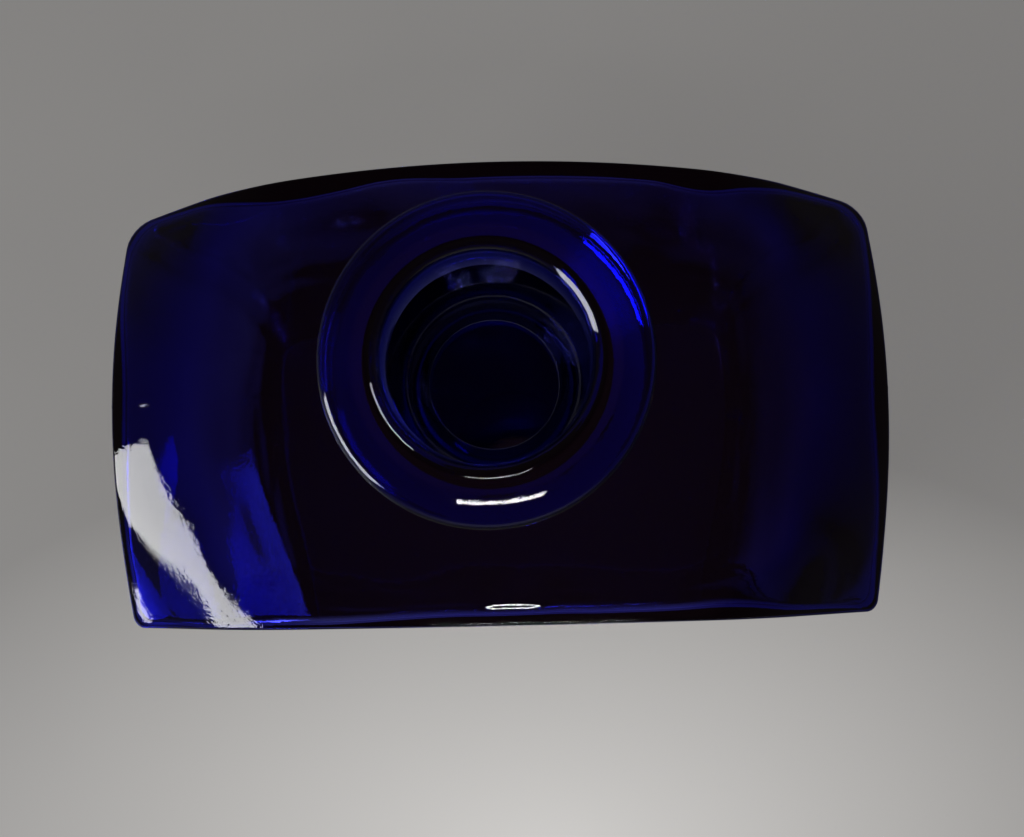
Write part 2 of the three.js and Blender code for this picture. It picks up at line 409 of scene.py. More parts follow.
# %% Inner skin
SIDE_WALL = 1.3 * MM
FRONT_WALL = 0.9 * MM
BACK_WALL = 1.1 * MM
SHOULDER_WALL = 3.0 * MM
BASE_WALL = 5.0 * MM
INNER_BOWS = (0.0, 0.0, 3.6 * MM)
INNER_CORNERS = (1.6 * MM, 3.0 * MM)
INNER_EDGE = 0.9 * MM
INNER_SHIFT = -0.2 * MM
HEEL = 2.5 * MM
HEEL_HEIGHT = 80.0 * MM
THROAT_RADIUS = 6.2 * MM
THROAT_FILLET = 9.0 * MM
THROAT_FOOT = THROAT_RADIUS + THROAT_FILLET
WALL_PULLS = (
    ((-21 * MM, BACK), -0.6 * MM, 9 * MM),
    ((-9 * MM, BACK), 0.35 * MM, 7 * MM),
    ((23 * MM, BACK), -0.7 * MM, 6 * MM),
    ((27 * MM, FRONT), 0.6 * MM, 18 * MM),
    ((-20 * MM, FRONT), -0.4 * MM, 15 * MM),
)


def heel(height):
    """How far the cavity is drawn in at a height, most at the base and nothing past the heel."""
    return HEEL * max(0.0, 1 - height / HEEL_HEIGHT) ** 2


throat_base = SHOULDER_HEIGHT - SHOULDER_WALL - math.tan(SHOULDER_SLOPE) * (THROAT_FOOT - NECK_FOOT)
inner_flat = throat_base - CONE_RISE
inner_base_edge = edge_stations(BASE_WALL, INNER_EDGE, -1, EDGE_STEPS)[::-1]
inner_base = [(z, HEEL + inset) for z, inset in inner_base_edge]
inner_edge = edge_stations(inner_flat, INNER_EDGE, 1, EDGE_STEPS)
inner_wall = (inner_base[-1][0], inner_edge[0][0])
inner = draw_plan(
    "glass_cavity",
    HALF_WIDTH - SIDE_WALL,
    FRONT + FRONT_WALL,
    BACK - BACK_WALL,
    INNER_BOWS,
    INNER_CORNERS,
)
for (x, y), push, reach in WALL_PULLS:
    pull_near((x, y, 0), (0, push, 0), reach, "SMOOTH")
fill_plan()
move(x=INNER_SHIFT)
draw_up(inner_base + [(z, heel(z)) for z, inset in wall_stations(*inner_wall, WALL_STEPS)] + inner_edge)
open_round(inner_flat, THROAT_FOOT, SHOULDER_CUTS, LIFT)
raise_shoulder(inner_flat, THROAT_FOOT)
finish_edit()

# %% Inner corner facets
BROAD_FACET = dict(turn=math.radians(23), width=11 * MM, edge=26 * MM, radius=20 * MM, slope=0.52)
CORNER_FACET = dict(turn=math.radians(45), width=18 * MM, edge=32.2 * MM, radius=5 * MM, slope=0.3)


def inner_fall(co):
    return facet_fall(co, **BROAD_FACET) + facet_fall(co, **CORNER_FACET)


lower_corners(inner, inner_fall, BASE_WALL + INNER_EDGE, inner_wall[1])
print("inner skin:", len(inner.data.polygons), "faces")

# %% [markdown]
# ## The wandering wall
# Blown glass is nowhere quite even, and most of what you see of it from above is this unevenness. A
# Displace modifier with a cloud texture makes the cavity's skin wander. Its weights fade out at the
# throat, where the neck joins on.

# %% Uneven wall
WAVE_HEIGHT = 0.7 * MM
WAVE_LENGTH = 17.0 * MM
WAVE_FADE = 8.0 * MM


def clouds(name, size, depth):
    """A cloud texture for a Displace modifier, with spots of a size and finer ones in them."""
    texture = bpy.data.textures.new(name, "CLOUDS")
    texture.noise_scale = size
    texture.noise_depth = depth
    return texture


def roughen(skin, name, weight, texture, height, level):
    """Moves a skin along its normals by a texture; where the texture is at the level, it stays put."""
    weighted_displace(
        skin, name, weight, direction="NORMAL", texture=texture, strength=height, mid_level=level
    )


def wave_weight(co):
    from_throat = (co - Vector((0, 0, throat_base))).length - THROAT_FOOT
    return min(1.0, max(0.0, from_throat / WAVE_FADE))


waves = clouds("wall_waves", WAVE_LENGTH, 1)
roughen(inner, "uneven_wall", wave_weight, waves, WAVE_HEIGHT, level=0.5)
print("inner wall wanders by up to", round(WAVE_HEIGHT / MM, 2), "mm")

# %% [markdown]
# ## The neck, the lip and the bore
# Everything round comes from one profile of radius and height. A profile is made of straight stretches,
# arcs and soft corners, so three small helpers write its points. You could draw it as a curve and lathe
# it, but points on spun rings can be made to meet the skins of the body vertex on vertex.

# %% Helpers for a profile
CURVE_STEPS = 12


def arc(centre, radius, start, end):
    """Points of a round stretch, as radius and height, from one angle to another in degrees."""
    turns = [math.radians(start + (end - start) * i / CURVE_STEPS) for i in range(CURVE_STEPS + 1)]
    return [(centre[0] + radius * math.cos(t), centre[1] + radius * math.sin(t)) for t in turns]


def bend(a, b, c):
    """Points of a soft corner at b, on the way from a to c."""

    def between(t):
        return tuple((1 - t) ** 2 * p + 2 * t * (1 - t) * q + t**2 * r for p, q, r in zip(a, b, c))

    return [between(i / CURVE_STEPS) for i in range(CURVE_STEPS + 1)]


def straight(a, b, steps):
    """Points along a straight stretch, without its ends."""
    return [tuple(p + (q - p) * i / steps for p, q in zip(a, b)) for i in range(1, steps)]


neck_root = arc((NECK_FOOT, SHOULDER_HEIGHT + NECK_FILLET), NECK_FILLET, 270, 180)
print("root of the neck:", len(neck_root), "points")

# %% [markdown]
# ## The crown and the underside of the lip
# The lip has a gently domed crown, a short upright face and an underside that slopes back to the neck
# as a curved cone. The slopes matter more than the outline: light that enters the crown is mirrored in
# the underside, and the cone's angle decides whether the lip shows the dark room or the glowing blue of
# the window.

# %% Outside of the lip
LIP_TOP = bottle_high.z
LIP_FACE = 2.0 * MM
LIP_UNDER_SLOPES = (36, 54)
LIP_UNDER_MIDDLE = 12.4 * MM
LIP_UNDER_EDGE = 0.5 * MM
CROWN_WIDTH = 2.9 * MM
CROWN_GENTLE = 10
CROWN_STEEP = 18
CROWN_EDGE = 0.95 * MM
RIM_RADIUS = LIP_RADIUS - CROWN_WIDTH


def meeting(a, slope_a, b, slope_b):
    """Where the line that falls outwards through a meets the one through b; slopes are in degrees."""
    fall_a = math.tan(math.radians(slope_a))
    fall_b = math.tan(math.radians(slope_b))
    r = (b[1] - a[1] + fall_b * b[0] - fall_a * a[0]) / (fall_b - fall_a)
    return (r, a[1] - fall_a * (r - a[0]))


crown_slope = math.radians((CROWN_GENTLE + CROWN_STEEP) / 2)
crown_run = CROWN_WIDTH - CROWN_EDGE * (1 - math.sin(math.radians(CROWN_STEEP)))
crown_height = crown_run * math.tan(crown_slope) + CROWN_EDGE * math.cos(math.radians(CROWN_STEEP))
crown_edge = arc((LIP_RADIUS - CROWN_EDGE, LIP_TOP - crown_height), CROWN_EDGE, 0, 90 - CROWN_STEEP)
rim = (RIM_RADIUS, LIP_TOP)
crown = bend(crown_edge[-1], meeting(rim, CROWN_GENTLE, crown_edge[-1], CROWN_STEEP), rim)
face_foot = LIP_TOP - crown_height - LIP_FACE
under_out, under_in = (math.tan(math.radians(slope)) for slope in LIP_UNDER_SLOPES)
under_middle = face_foot - (LIP_RADIUS - LIP_UNDER_MIDDLE) * under_out
lip_bottom = under_middle - (LIP_UNDER_MIDDLE - NECK_RADIUS) * under_in
under_edge = bend(
    (LIP_RADIUS - LIP_UNDER_EDGE, face_foot - LIP_UNDER_EDGE * under_out),
    (LIP_RADIUS, face_foot),
    (LIP_RADIUS, face_foot + LIP_UNDER_EDGE),
)
under_side = bend((NECK_RADIUS, lip_bottom), (LIP_UNDER_MIDDLE, under_middle), under_edge[0])
print("lip:", round((LIP_TOP - lip_bottom) / MM, 1), "mm high")

# %% [markdown]
# ## The mouth and the bore
# A flat ring surrounds the mouth, with a fine bead on its inner edge that draws a thin bright line. The
# bore below is nearly straight, then steps in at a ledge to the throat, and flares out into the cavity.

# %% Mouth and bore
MOUTH_RADIUS = RIM_RADIUS - 1.6 * MM
MOUTH_EDGE = 0.8 * MM
BEAD_WIDTH = 0.6 * MM
BEAD_HEIGHT = 0.17 * MM
BEAD_FALL = 0.37 * MM
BORE_TOP = MOUTH_RADIUS - MOUTH_EDGE
BORE_FOOT = 8.2 * MM
LEDGE_TOP = 108.4 * MM
LEDGE_FOOT = 106.2 * MM
LEDGE_EDGE = 0.4 * MM

mouth_bead = bend(
    (MOUTH_RADIUS + BEAD_WIDTH, LIP_TOP),
    (MOUTH_RADIUS + BEAD_WIDTH / 2, LIP_TOP),
    (MOUTH_RADIUS, LIP_TOP + BEAD_HEIGHT),
)
mouth = bend(
    (MOUTH_RADIUS, LIP_TOP + BEAD_HEIGHT),
    (BORE_TOP, LIP_TOP + BEAD_HEIGHT - BEAD_FALL),
    (BORE_TOP, LIP_TOP - MOUTH_EDGE),
)
ledge_high = bend(
    (BORE_FOOT, LEDGE_TOP + LEDGE_EDGE),
    (BORE_FOOT, LEDGE_TOP),
    (BORE_FOOT - LEDGE_EDGE, LEDGE_TOP - LEDGE_EDGE),
)
ledge_low = bend(
    (THROAT_RADIUS + LEDGE_EDGE, LEDGE_FOOT + LEDGE_EDGE),
    (THROAT_RADIUS, LEDGE_FOOT),
    (THROAT_RADIUS, LEDGE_FOOT - LEDGE_EDGE),
)
throat = arc((THROAT_FOOT, throat_base + THROAT_FILLET), THROAT_FILLET, 180, 270)
print("mouth, bore and throat radii in mm:", in_mm((MOUTH_RADIUS, BORE_TOP, THROAT_RADIUS)))

# %% [markdown]
# ## Turning the neck
# The stretches become one profile: up the neck, round the lip, over the mouth and down the bore. It is
# drawn vertex by vertex with extrude and turned with spin, in as many steps as the plan has points, so
# that both ends meet the skins. The underside of the lip then gets a slight waviness, which breaks up
# what it mirrors.

# %% Turn the neck
neck_profile = [
    *neck_root,
    *straight(neck_root[-1], under_side[0], 8),
    *under_side,
    *under_edge[1:],
    *straight(under_edge[-1], crown_edge[0], 4),
    *crown_edge,
    *crown[1:],
    *straight(crown[-1], mouth_bead[0], 3),
    *mouth_bead,
    *mouth[1:],
    *straight(mouth[-1], ledge_high[0], 10),
    *ledge_high,
    *straight(ledge_high[-1], ledge_low[0], 3),
    *ledge_low,
    *straight(ledge_low[-1], throat[0], 3),
    *throat,
]


def turn_profile(name, points):
    """Draws a profile of radius and height point by point, and spins it round the upright axis."""
    piece = begin(name, bpy.ops.mesh.primitive_plane_add, size=MM)
    bpy.ops.mesh.merge(type="CENTER")
    move(x=points[0][0], z=points[0][1])
    for (r0, z0), (r1, z1) in zip(points, points[1:]):
        bpy.ops.mesh.extrude_vertices_move(TRANSFORM_OT_translate={"value": (r1 - r0, 0, z1 - z0)})
    bpy.ops.mesh.select_all(action="SELECT")
    bpy.ops.mesh.spin(steps=AROUND, angle=2 * math.pi, center=(0, 0, 0), axis=(0, 0, 1))
    bpy.ops.mesh.select_all(action="SELECT")
    bpy.ops.mesh.remove_doubles(threshold=TINY)
    return piece


neck = turn_profile("glass_neck", neck_profile)
finish_edit()
print("neck:", len(neck.data.polygons), "faces, lip", round(2 * LIP_RADIUS / MM, 1), "mm across")

# %% Uneven underside of the lip
LIP_WAVE_HEIGHT = 0.06 * MM
LIP_WAVE_LENGTH = 5.0 * MM


def under_the_lip(co):
    """1 on the sloped underside of the lip, and 0 elsewhere."""
    return float(lip_bottom + TINY < co.z < face_foot and co.xy.length > NECK_RADIUS)


lip_waves = clouds("lip_waves", LIP_WAVE_LENGTH, 2)
roughen(neck, "uneven_lip", under_the_lip, lip_waves, LIP_WAVE_HEIGHT, level=0.5)
print("the lip's underside wanders by up to", round(LIP_WAVE_HEIGHT / MM, 2), "mm")

# %% [markdown]
# ## One piece of glass
# Outside, neck and inside are one melt, so the three skins become one closed mesh: join, merge the
# doubles where they meet, and let Blender turn the faces outwards. The two halves of the mould left a
# fine seam across the shoulder and up the neck. Three cuts with bisect give it vertices, and the middle
# ones are fattened by a hair.

# %% Join the skins
bpy.ops.object.select_all(action="DESELECT")
for skin in (inner, neck, outer):
    skin.select_set(True)
bpy.context.view_layer.objects.active = outer
bpy.ops.object.join()
glass = bpy.context.object
bpy.ops.object.mode_set(mode="EDIT")
bpy.ops.mesh.select_all(action="SELECT")
bpy.ops.mesh.remove_doubles(threshold=2 * TINY)
bpy.ops.mesh.select_all(action="SELECT")
bpy.ops.mesh.normals_make_consistent(inside=False)
print("joined skins:", len(edit_mesh().faces), "faces")

# %% Mould seam
SEAM_HALF_WIDTH = 0.25 * MM
SEAM_HEIGHT = 0.03 * MM
SEAM_START = 2 * BASE_WALL
FACING_UP = 0.5

for cut_y in (-SEAM_HALF_WIDTH, 0.0, SEAM_HALF_WIDTH):
    bpy.ops.mesh.select_all(action="SELECT")
    bpy.ops.mesh.bisect(plane_co=(0, cut_y, 0), plane_no=(0, 1, 0))
bpy.ops.mesh.select_all(action="DESELECT")
mesh = edit_mesh()
for vert in mesh.verts:
    outside = vert.normal.x * vert.co.x > 0 or vert.normal.z > FACING_UP
    on_body = SEAM_START < vert.co.z < lip_bottom and abs(vert.co.x) > NECK_RADIUS - TINY
    vert.select = abs(vert.co.y) < TINY and outside and on_body
mesh.select_flush(True)
print("mould seam:", sum(vert.select for vert in mesh.verts), "points")
bmesh.update_edit_mesh(glass.data)
bpy.ops.transform.shrink_fatten(value=SEAM_HEIGHT)
finish_edit()

# %% Smooth and measure
CREASE = math.radians(14)


def smooth(piece):
    bpy.ops.object.select_all(action="DESELECT")
    piece.select_set(True)
    bpy.context.view_layer.objects.active = piece
    bpy.ops.object.shade_smooth_by_angle(angle=CREASE)


def measure(piece):
    """Faces, open edges and cubic millimetres of a piece."""
    mesh = bmesh.new()
    mesh.from_mesh(piece.data)
    open_edges = sum(not edge.is_manifold for edge in mesh.edges)
    volume = mesh.calc_volume(signed=True)
    mesh.free()
    return len(piece.data.polygons), open_edges, round(volume / MM**3)


smooth(glass)
print("bottle: %d faces, %d open edges, %d cubic mm of glass" % measure(glass))

# %% [markdown]
# ## The stopper
# A bottle like this was closed with a glass head on a shank, with a sleeve of cork to grip the bore. It
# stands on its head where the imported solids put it. Both pieces are turned from profiles as the neck
# was, at the axis, and then moved into place in edit mode, so that their objects stay at the origin.

# %% Stopper head
head_low, head_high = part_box("stopper_head")
cork_low, cork_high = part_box("stopper_cork")
STOPPER_PLACE = (head_low + head_high) / 2
HEAD_RADIUS = (head_high.x - head_low.x) / 2
SEAT = cork_low.z
HEAD_EDGE = 2.4 * MM
SHANK_RADIUS = 3.6 * MM
CORK_GAP = 0.15 * MM
KNOB_RADIUS = 4.45 * MM
KNOB_START = cork_high.z + CORK_GAP

head_top = bend((HEAD_RADIUS - HEAD_EDGE, 0), (HEAD_RADIUS, 0), (HEAD_RADIUS, HEAD_EDGE))
head_seat = bend((HEAD_RADIUS, SEAT - HEAD_EDGE), (HEAD_RADIUS, SEAT), (HEAD_RADIUS - HEAD_EDGE, SEAT))
knob = bend((KNOB_RADIUS, KNOB_START), (KNOB_RADIUS, head_high.z), (0, head_high.z))
head_profile = [
    (0, 0),
    *straight((0, 0), head_top[0], 6),
    *head_top,
    *straight(head_top[-1], head_seat[0], 6),
    *head_seat,
    *straight(head_seat[-1], (SHANK_RADIUS, SEAT), 5),
    (SHANK_RADIUS, SEAT),
    *straight((SHANK_RADIUS, SEAT), (SHANK_RADIUS, KNOB_START), 10),
    (SHANK_RADIUS, KNOB_START),
    *knob,
]


def stand_stopper(piece):
    """Moves a turned piece from the axis to where the stopper stands, and turns its faces outwards."""
    bpy.ops.mesh.select_all(action="SELECT")
    move(x=STOPPER_PLACE.x, y=STOPPER_PLACE.y)
    bpy.ops.mesh.normals_make_consistent(inside=False)
    finish_edit()
    smooth(piece)
    print("%s: %d faces, %d open edges, %d cubic mm" % (piece.name, *measure(piece)))


head = turn_profile("stopper_head_dressed", head_profile)
stand_stopper(head)

# %% [markdown]
# ## The cork sleeve
# Cork is soft, so its taper is steeper than that of the bore, and it is squeezed to fit. The sleeve's
# profile is a closed ring round the shank. Cork also has pits in its skin. They are real hollows here,
# made by a Displace modifier with a fine cloud texture, and they fade out at the hole and at the ends.

# %% Stopper cork
CORK_HOLE = SHANK_RADIUS + CORK_GAP
CORK_EDGE = 0.6 * MM
CORK_SEAT_EDGE = 0.8 * MM
CORK_WIDE = (cork_high.x - cork_low.x) / 2
CORK_NARROW = 6.8 * MM

cork_foot = (CORK_HOLE, SEAT)
cork_head = (CORK_HOLE, cork_high.z)
wide_edge = bend((CORK_WIDE - CORK_EDGE, SEAT), (CORK_WIDE, SEAT), (CORK_WIDE, SEAT + CORK_SEAT_EDGE))
narrow_edge = bend(
    (CORK_NARROW, cork_high.z - CORK_EDGE),
    (CORK_NARROW, cork_high.z),
    (CORK_NARROW - CORK_EDGE, cork_high.z),
)
cork_profile = [
    cork_foot,
    *straight(cork_foot, wide_edge[0], 6),
    *wide_edge,
    *straight(wide_edge[-1], narrow_edge[0], 40),
    *narrow_edge,
    *straight(narrow_edge[-1], cork_head, 6),
    cork_head,
    *straight(cork_head, cork_foot, 10),
    cork_foot,
]
cork = turn_profile("stopper_cork_dressed", cork_profile)
stand_stopper(cork)

# %% Pits in the cork
PIT_DEPTH = 0.5 * MM
PIT_SIZE = 0.9 * MM


def cork_skin(co):
    """How far a vertex is from the sleeve's hole and from its two ends, from 0 to 1."""
    from_axis = (co.xy - STOPPER_PLACE.xy).length - CORK_HOLE
    from_ends = min(co.z - SEAT, cork_high.z - co.z)
    return min(1.0, max(0.0, from_axis / CORK_HOLE)) * min(1.0, max(0.0, from_ends / CORK_SEAT_EDGE))


pits = clouds("cork_pits", PIT_SIZE, 2)
roughen(cork, "pits", cork_skin, pits, PIT_DEPTH, level=0.9)
print("cork skin is pitted by up to", round(PIT_DEPTH / MM, 2), "mm")

# %% [markdown]
# ## Small helpers for nodes
# A material is a little diagram of nodes. Written out link by link it gets long, so these helpers place
# a Math or Map Range node and give its output, and feed takes either a number or another node's output.
# In the last helper a piece gets its material, is hung on the body that it rides on, and the solid
# that it stands for is hidden.

# %% Helpers for materials
def new_material(name):
    material = bpy.data.materials.new(name)
    material.use_nodes = True
    return material, material.node_tree.nodes, material.node_tree.links


def feed(tree, socket, value):
    """Sets a socket to a number, or links it to another node's output."""
    if isinstance(value, (int, float)):
        socket.default_value = value
    else:
        tree.links.new(value, socket)


def calc(tree, operation, first, second=0.0):
    """A Math node on two values, each a number or an output."""
    node = tree.nodes.new("ShaderNodeMath")
    node.operation = operation
    feed(tree, node.inputs[0], first)
    feed(tree, node.inputs[1], second)
    return node.outputs["Value"]


def spread(tree, value, start, end, low=0.0, high=1.0, shape="LINEAR"):
    """A Map Range node: a value that goes from start to end comes out going from low to high."""
    node = tree.nodes.new("ShaderNodeMapRange")
    node.interpolation_type = shape
    feed(tree, node.inputs["Value"], value)
    feed(tree, node.inputs["From Min"], start)
    feed(tree, node.inputs["From Max"], end)
    feed(tree, node.inputs["To Min"], low)
    feed(tree, node.inputs["To Max"], high)
    return node.outputs["Result"]


def near_place(tree, place, location, rotation, reach):
    """A value that is 1 at a location and falls to 0 at the rim of an ellipsoid round it."""
    centre = tree.nodes.new("ShaderNodeMapping")
    centre.vector_type = "TEXTURE"
    centre.inputs["Location"].default_value = location
    centre.inputs["Rotation"].default_value = rotation
    centre.inputs["Scale"].default_value = reach
    near = tree.nodes.new("ShaderNodeTexGradient")
    near.gradient_type = "SPHERICAL"
    tree.links.new(place, centre.inputs["Vector"])
    tree.links.new(centre.outputs["Vector"], near.inputs["Vector"])
    return near.outputs["Fac"]


def blend_colours(tree, mask, first, second):
    """A colour that goes from the first to the second with a mask."""
    mix = tree.nodes.new("ShaderNodeMix")
    mix.data_type = "RGBA"
    tree.links.new(mask, mix.inputs["Factor"])
    mix.inputs["A"].default_value = (*first, 1)
    mix.inputs["B"].default_value = (*second, 1)
    return mix.outputs["Result"]


# %% Dress a piece
def dress(piece, material, body, node):
    """Gives a piece its material, hangs it on its body's empty, and hides the solid that it stands for.
    """
    piece.data.materials.clear()
    piece.data.materials.append(material)
    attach(piece, body)
    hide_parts(node)


# %% [markdown]
# ## An effect that every finish uses
# Glass, cork and floor all have soft blotches, in which a value wanders between a low and a high one.
# That is one shader node group with named inputs, built once and placed in each material with values of
# its own. It reads Object coordinates, so the pattern stays on the piece from every side.

# %% Blotches
BLOTCH_LOW = 0.35
BLOTCH_HIGH = 0.65


def blotch_group():
    """A soft value that wanders between Low and High."""
    tree = bpy.data.node_groups.new("blotches", "ShaderNodeTree")
    for name, value in (("Scale", 40.0), ("Low", 0.0), ("High", 1.0)):
        socket = tree.interface.new_socket(name, in_out="INPUT", socket_type="NodeSocketFloat")
        socket.default_value = value
    tree.interface.new_socket("Value", in_out="OUTPUT", socket_type="NodeSocketFloat")
    source = tree.nodes.new("NodeGroupInput").outputs
    place = tree.nodes.new("ShaderNodeTexCoord")
    noise = tree.nodes.new("ShaderNodeTexNoise")
    noise.inputs["Detail"].default_value = 4
    tree.links.new(place.outputs["Object"], noise.inputs["Vector"])
    tree.links.new(source["Scale"], noise.inputs["Scale"])
    value = spread(tree, noise.outputs["Fac"], BLOTCH_LOW, BLOTCH_HIGH, source["Low"], source["High"])
    tree.links.new(value, tree.nodes.new("NodeGroupOutput").inputs["Value"])
    return tree


def place_group(tree, group, **values):
    """Places a node group in a material with values of its own, and gives its output."""
    node = tree.nodes.new("ShaderNodeGroup")
    node.node_tree = group
    for socket, value in values.items():
        node.inputs[socket].default_value = value
    return node.outputs[0]


blotches = blotch_group()
print("node group:", blotches.name)

# %% [markdown]
# ## Cobalt glass
# Cobalt takes nearly all red and green out of the light and lets blue through, so the colour belongs in
# the depth of the glass and not on its skin. The surface is clear and refracts, and a Volume Absorption
# inside it makes thin glass blue and thick glass black. The skin is glossy with smears. A fine ripple
# frays the edges of what it mirrors, most of all on one corner facet, where the white band has ragged
# teeth.

# %% Glass material
RIPPLE_SCALE = 2200
RIPPLE_HEIGHT = 0.04 * MM
RIPPLE_EVERYWHERE = 0.12
RIPPLE_MOST = 0.7
ROUGH_PLACE = (-30 * MM, -18.5 * MM, 95 * MM)
ROUGH_TURN = (0, 0, math.radians(-50))
ROUGH_REACH = (16 * MM, 8 * MM, 4.5 * MM)
ROUGH_CORE = 0.4


def glass_ripple(tree):
    """The height of the ripple, stronger near the rough place."""
    place = tree.nodes.new("ShaderNodeTexCoord").outputs["Object"]
    ripple = tree.nodes.new("ShaderNodeTexNoise")
    ripple.inputs["Scale"].default_value = RIPPLE_SCALE
    ripple.inputs["Detail"].default_value = 2
    tree.links.new(place, ripple.inputs["Vector"])
    near = near_place(tree, place, ROUGH_PLACE, ROUGH_TURN, ROUGH_REACH)
    strength = spread(tree, near, 0.0, ROUGH_CORE, RIPPLE_EVERYWHERE, RIPPLE_MOST)
    return calc(tree, "MULTIPLY", ripple.outputs["Fac"], strength)


def cobalt_glass():
    material, nodes, links = new_material("cobalt_glass")
    tree = material.node_tree
    shader = nodes["Principled BSDF"]
    shader.inputs["IOR"].default_value = 1.52
    shader.inputs["Transmission Weight"].default_value = 1
    tint = place_group(tree, blotches, Scale=90.0)
    links.new(blend_colours(tree, tint, (0.95, 0.95, 1.0), (1, 1, 1)), shader.inputs["Base Color"])
    smears = place_group(tree, blotches, Scale=120.0, Low=0.0, High=0.04)
    links.new(smears, shader.inputs["Roughness"])
    bump = nodes.new("ShaderNodeBump")
    bump.inputs["Strength"].default_value = 1
    bump.inputs["Distance"].default_value = RIPPLE_HEIGHT
    links.new(glass_ripple(tree), bump.inputs["Height"])
    links.new(bump.outputs["Normal"], shader.inputs["Normal"])
    depth = nodes.new("ShaderNodeVolumeAbsorption")
    depth.inputs["Color"].default_value = (0.15, 0.19, 0.82, 1)
    depth.inputs["Density"].default_value = 800
    links.new(depth.outputs["Volume"], nodes["Material Output"].inputs["Volume"])
    return material


glass_finish = cobalt_glass()
dress(glass, glass_finish, "bottle", "glass_bottle")
dress(head, glass_finish, "stopper", "stopper_head")
print("glass on", glass.name, "and", head.name)

# %% [markdown]
# ## Cork
# Cork is bark: warm tan, mottled, with small pores between its pits. The shared blotches make the
# mottle. The pores are only on cork: round spots in the cells of a Voronoi texture, sunk with a bump.

# %% Cork material
PORE_SCALE = 700
PORE_SIZE = 0.28
PORE_DEPTH = 0.2 * MM


def cork_pores(tree):
    """A mask that is 1 inside scattered round pores."""
    place = tree.nodes.new("ShaderNodeTexCoord")
    cells = tree.nodes.new("ShaderNodeTexVoronoi")
    cells.inputs["Scale"].default_value = PORE_SCALE
    tree.links.new(place.outputs["Object"], cells.inputs["Vector"])
    return calc(tree, "LESS_THAN", cells.outputs["Distance"], PORE_SIZE)


def cork_bark():
    material, nodes, links = new_material("cork")
    tree = material.node_tree
    shader = nodes["Principled BSDF"]
    shader.inputs["Roughness"].default_value = 0.85
    mottle = place_group(tree, blotches, Scale=500.0)
    colour = blend_colours(tree, mottle, (0.36, 0.19, 0.09), (0.62, 0.39, 0.21))
    links.new(colour, shader.inputs["Base Color"])
    bump = nodes.new("ShaderNodeBump")
    bump.invert = True
    bump.inputs["Distance"].default_value = PORE_DEPTH
    links.new(cork_pores(tree), bump.inputs["Height"])
    links.new(bump.outputs["Normal"], shader.inputs["Normal"])
    return material


dress(cork, cork_bark(), "stopper", "stopper_cork")
print("cork on", cork.name)

# %% [markdown]
# ## The floor
# A plain pale table top with a painted pool of light in front of the bottle, in place of a lamp's sheen.
# Part of its light is its own and only for the eye, through Light Path, so that the glass doesn't fill
# with more light than the room gives it, while the rest still takes the object's shadow. A painted
# contact shadow takes its own light away under the bottle. Seen through the glass it is dimmed, and it
# fades in with the distance from the bottle: painted shade that keeps the inside as dark and soft as a
# deep vessel is.

# %% Floor
FLOOR_SIZE = 1.6
FLOOR_GAP = 0.2 * MM
FLOOR_GLOW = 0.18
# painted pool of light in front of the bottle, in place of a lamp's sheen
PAINTED_POOL_GLOW = 0.56
PAINTED_POOL_PLACE = (4 * MM, -70 * MM, 0)
PAINTED_POOL_REACH = (128 * MM, 74 * MM, 74 * MM)
# painted shade round the bottle: dimmed through the glass, a painted shadow close by, faded in further
# out
THROUGH_GLASS = 0.38
PAINTED_SHADOW_REACH = 6.0 * MM
PAINTED_FADE_REACH = 70.0 * MM


def from_footprint(tree, place):
    """How far a place on the floor lies outside the bottle's footprint, along X or Y."""
    split = tree.nodes.new("ShaderNodeSeparateXYZ")
    tree.links.new(place, split.inputs["Vector"])
    beyond = [
        calc(tree, "SUBTRACT", calc(tree, "ABSOLUTE", split.outputs[axis]), reach)
        for axis, reach in (("X", HALF_WIDTH), ("Y", (BACK - FRONT) / 2))
    ]
    return calc(tree, "MAXIMUM", *beyond)


def floor_glow(tree):
    """The floor's own light, with a painted pool and painted shadow, as seen and through the glass."""
    place = tree.nodes.new("ShaderNodeTexCoord").outputs["Object"]
    path = tree.nodes.new("ShaderNodeLightPath").outputs
    outside = from_footprint(tree, place)
    # painted pool of light, brightest in front of the bottle
    painted_pool = near_place(tree, place, PAINTED_POOL_PLACE, (0, 0, 0), PAINTED_POOL_REACH)
    glow = spread(tree, painted_pool, 0.0, 1.0, FLOOR_GLOW, PAINTED_POOL_GLOW)
    # painted shade: seen through the glass the glow is dimmed, and fades in away from the bottle
    dimmed = calc(tree, "MULTIPLY", path["Is Transmission Ray"], THROUGH_GLASS)
    painted_fade = calc(tree, "MULTIPLY", dimmed, spread(tree, outside, 0.0, PAINTED_FADE_REACH, shape="SMOOTHSTEP"))
    seen = calc(tree, "MAXIMUM", path["Is Camera Ray"], painted_fade)
    # painted contact shadow: no glow under the bottle and just round it
    outside_painted_shadow = calc(tree, "MULTIPLY", seen, spread(tree, outside, 0.0, PAINTED_SHADOW_REACH))
    return calc(tree, "MULTIPLY", glow, outside_painted_shadow)


def floor_finish():
    material, nodes, links = new_material("floor")
    tree = material.node_tree
    shader = nodes["Principled BSDF"]
    shader.inputs["Roughness"].default_value = 0.45
    shader.inputs["Emission Color"].default_value = (1.0, 0.98, 0.95, 1)
    grain = place_group(tree, blotches, Scale=30.0)
    colour = blend_colours(tree, grain, (0.072, 0.071, 0.069), (0.078, 0.077, 0.074))
    links.new(colour, shader.inputs["Base Color"])
    links.new(floor_glow(tree), shader.inputs["Emission Strength"])
    return material


bpy.ops.object.select_all(action="DESELECT")
bpy.ops.mesh.primitive_plane_add(size=FLOOR_SIZE, location=(0, 0, -FLOOR_GAP))
floor = bpy.context.object
floor.name = "floor"
floor.data.materials.append(floor_finish())
print("floor", FLOOR_SIZE, "m wide")

